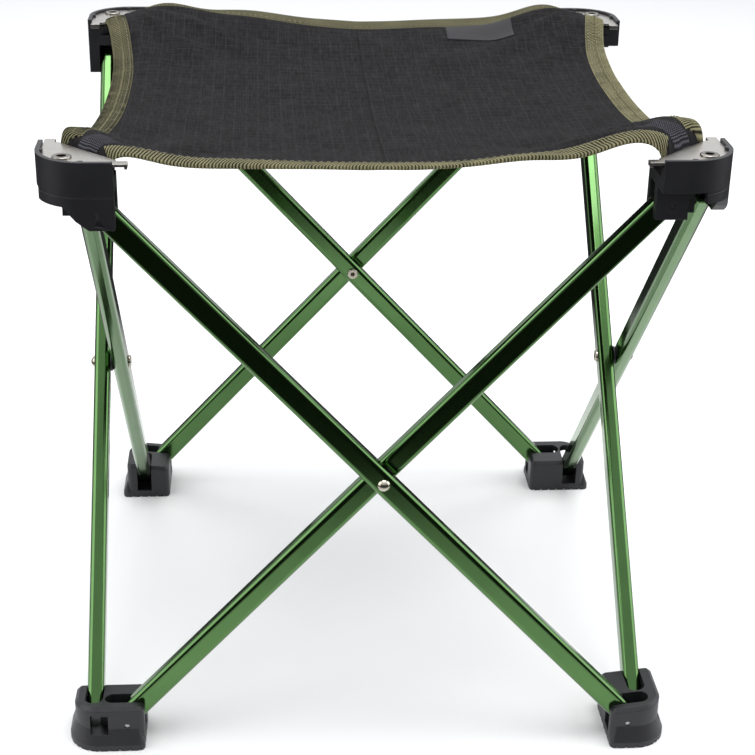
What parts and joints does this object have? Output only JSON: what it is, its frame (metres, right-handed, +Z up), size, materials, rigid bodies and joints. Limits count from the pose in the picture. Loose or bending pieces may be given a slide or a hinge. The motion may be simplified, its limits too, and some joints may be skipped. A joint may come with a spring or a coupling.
{
  "type": "folding camp stool",
  "caption": "Folding camp stool: crossed flat-oval tubes join moulded feet to corner blocks, which hold a taut fabric seat by clamped corner straps.",
  "frame": {"origin": "floor plane under the middle of the open seat", "axes": "+Z up, -Y is the front panel, +X to the right of someone who looks at the front"},
  "size_m": [0.309, 0.309, 0.3063],
  "materials": {
    "green_anodised_tube": "green anodised, glossy",
    "steel_pin": "plain turned",
    "black_nylon": "moulded, soft sheen",
    "nickel_plate": "nickel plated",
    "nickel_rivet": "nickel plated",
    "bright_rivet": "bright",
    "washer_plastic": "matt",
    "black_webbing": "ribbed weave",
    "charcoal_canvas": "ripstop weave",
    "olive_grosgrain": "ribbed weave",
    "label_cloth": "woven, plain"
  },
  "bodies": {
    "foot_front_left": {"foot_front_left": "black_nylon", "foot_pins_front_left": "steel_pin"},
    "foot_front_right": {"foot_front_right": "black_nylon", "foot_pins_front_right": "steel_pin"},
    "foot_rear_right": {"foot_rear_right": "black_nylon", "foot_pins_rear_right": "steel_pin"},
    "foot_rear_left": {"foot_rear_left": "black_nylon", "foot_pins_rear_left": "steel_pin"},
    "corner_block_front_left": {"corner_block_front_left": "black_nylon", "block_pins_front_left": "steel_pin", "gripper_plate_front_left": "nickel_plate", "plate_rivet_front_left": "nickel_rivet", "corner_strap_front_left": "black_webbing"},
    "corner_block_front_right": {"corner_block_front_right": "black_nylon", "block_pins_front_right": "steel_pin", "gripper_plate_front_right": "nickel_plate", "plate_rivet_front_right": "nickel_rivet", "corner_strap_front_right": "black_webbing"},
    "corner_block_rear_right": {"corner_block_rear_right": "black_nylon", "block_pins_rear_right": "steel_pin", "gripper_plate_rear_right": "nickel_plate", "plate_rivet_rear_right": "nickel_rivet", "corner_strap_rear_right": "black_webbing"},
    "corner_block_rear_left": {"corner_block_rear_left": "black_nylon", "block_pins_rear_left": "steel_pin", "gripper_plate_rear_left": "nickel_plate", "plate_rivet_rear_left": "nickel_rivet", "corner_strap_rear_left": "black_webbing"},
    "tube_front_inner": {"tube_front_inner": "green_anodised_tube", "centre_rivet_front": "bright_rivet", "spacer_washer_front": "washer_plastic"},
    "tube_front_outer": {"tube_front_outer": "green_anodised_tube"},
    "tube_right_inner": {"tube_right_inner": "green_anodised_tube", "centre_rivet_right": "bright_rivet", "spacer_washer_right": "washer_plastic"},
    "tube_right_outer": {"tube_right_outer": "green_anodised_tube"},
    "tube_rear_inner": {"tube_rear_inner": "green_anodised_tube", "centre_rivet_rear": "bright_rivet", "spacer_washer_rear": "washer_plastic"},
    "tube_rear_outer": {"tube_rear_outer": "green_anodised_tube"},
    "tube_left_inner": {"tube_left_inner": "green_anodised_tube", "centre_rivet_left": "bright_rivet", "spacer_washer_left": "washer_plastic"},
    "tube_left_outer": {"tube_left_outer": "green_anodised_tube"},
    "seat_left": {"seat_panel_left": "charcoal_canvas", "binding_left": "olive_grosgrain", "binding_front_left": "olive_grosgrain", "binding_rear_left": "olive_grosgrain"},
    "seat_right": {"seat_panel_right": "charcoal_canvas", "binding_right": "olive_grosgrain", "binding_front_right": "olive_grosgrain", "binding_rear_right": "olive_grosgrain", "seat_label": "label_cloth"}
  },
  "joints": [
    {"name": "frame_fold", "type": "hinge", "parent": "foot_front_left", "child": "tube_front_inner", "pos_m": [-0.125, -0.1322, 0.0127], "axis": [0, -1, 0], "range_deg": [0, 38]},
    {"name": "block_front_right_pivot", "type": "hinge", "parent": "tube_front_inner", "child": "corner_block_front_right", "pos_m": [0.125, -0.1322, 0.2827], "axis": [0, 1, 0], "range_deg": [0, 38]},
    {"name": "front_cross_pivot", "type": "hinge", "parent": "tube_front_inner", "child": "tube_front_outer", "pos_m": [0, -0.137, 0.1477], "axis": [0, 1, 0], "range_deg": [0, 76]},
    {"name": "block_front_left_pivot", "type": "hinge", "parent": "tube_front_outer", "child": "corner_block_front_left", "pos_m": [-0.125, -0.1418, 0.2827], "axis": [0, -1, 0], "range_deg": [0, 38]},
    {"name": "foot_front_right_pivot", "type": "hinge", "parent": "tube_front_outer", "child": "foot_front_right", "pos_m": [0.125, -0.1418, 0.0127], "axis": [0, -1, 0], "range_deg": [0, 38]},
    {"name": "left_outer_foot_pivot", "type": "hinge", "parent": "foot_front_left", "child": "tube_left_outer", "pos_m": [-0.1418, -0.125, 0.0127], "axis": [1, 0, 0], "range_deg": [0, 38]},
    {"name": "block_rear_left_pivot", "type": "hinge", "parent": "tube_left_outer", "child": "corner_block_rear_left", "pos_m": [-0.1418, 0.125, 0.2827], "axis": [-1, 0, 0], "range_deg": [0, 38]},
    {"name": "left_cross_pivot", "type": "hinge", "parent": "tube_left_outer", "child": "tube_left_inner", "pos_m": [-0.137, 0, 0.1477], "axis": [-1, 0, 0], "range_deg": [0, 76]},
    {"name": "foot_rear_left_pivot", "type": "hinge", "parent": "tube_left_inner", "child": "foot_rear_left", "pos_m": [-0.1322, 0.125, 0.0127], "axis": [1, 0, 0], "range_deg": [0, 38]},
    {"name": "right_inner_foot_pivot", "type": "hinge", "parent": "foot_front_right", "child": "tube_right_inner", "pos_m": [0.1322, -0.125, 0.0127], "axis": [1, 0, 0], "range_deg": [0, 38]},
    {"name": "block_rear_right_pivot", "type": "hinge", "parent": "tube_right_inner", "child": "corner_block_rear_right", "pos_m": [0.1322, 0.125, 0.2827], "axis": [-1, 0, 0], "range_deg": [0, 38]},
    {"name": "right_cross_pivot", "type": "hinge", "parent": "tube_right_inner", "child": "tube_right_outer", "pos_m": [0.137, 0, 0.1477], "axis": [-1, 0, 0], "range_deg": [0, 76]},
    {"name": "foot_rear_right_pivot", "type": "hinge", "parent": "tube_right_outer", "child": "foot_rear_right", "pos_m": [0.1418, 0.125, 0.0127], "axis": [1, 0, 0], "range_deg": [0, 38]},
    {"name": "rear_outer_foot_pivot", "type": "hinge", "parent": "foot_rear_left", "child": "tube_rear_outer", "pos_m": [-0.125, 0.1418, 0.0127], "axis": [0, -1, 0], "range_deg": [0, 38]},
    {"name": "rear_cross_pivot", "type": "hinge", "parent": "tube_rear_outer", "child": "tube_rear_inner", "pos_m": [0, 0.137, 0.1477], "axis": [0, 1, 0], "range_deg": [0, 76]},
    {"name": "seat_left_fold", "type": "hinge", "parent": "corner_block_front_left", "child": "seat_left", "pos_m": [-0.117, 0, 0.3], "axis": [0, 1, 0], "range_deg": [0, 87.4], "deforming": ["seat_panel_left", "binding_left", "binding_front_left", "binding_rear_left"]},
    {"name": "seat_right_fold", "type": "hinge", "parent": "corner_block_front_right", "child": "seat_right", "pos_m": [0.117, 0, 0.3], "axis": [0, -1, 0], "range_deg": [0, 87.4], "deforming": ["seat_panel_right", "binding_right", "binding_front_right", "binding_rear_right", "seat_label"]}
  ],
  "couplings": [
    {"joint": "block_front_right_pivot", "follows": "frame_fold", "ratio": 1},
    {"joint": "front_cross_pivot", "follows": "frame_fold", "ratio": 2},
    {"joint": "block_front_left_pivot", "follows": "frame_fold", "ratio": 1},
    {"joint": "foot_front_right_pivot", "follows": "frame_fold", "ratio": 1},
    {"joint": "left_outer_foot_pivot", "follows": "frame_fold", "ratio": 1},
    {"joint": "block_rear_left_pivot", "follows": "frame_fold", "ratio": 1},
    {"joint": "left_cross_pivot", "follows": "frame_fold", "ratio": 2},
    {"joint": "foot_rear_left_pivot", "follows": "frame_fold", "ratio": 1},
    {"joint": "right_inner_foot_pivot", "follows": "frame_fold", "ratio": 1},
    {"joint": "block_rear_right_pivot", "follows": "frame_fold", "ratio": 1},
    {"joint": "right_cross_pivot", "follows": "frame_fold", "ratio": 2},
    {"joint": "foot_rear_right_pivot", "follows": "frame_fold", "ratio": 1},
    {"joint": "rear_outer_foot_pivot", "follows": "frame_fold", "ratio": 1},
    {"joint": "rear_cross_pivot", "follows": "frame_fold", "ratio": 2},
    {"joint": "seat_left_fold", "follows": "frame_fold", "ratio": 2.3},
    {"joint": "seat_right_fold", "follows": "frame_fold", "ratio": 2.3}
  ]
}
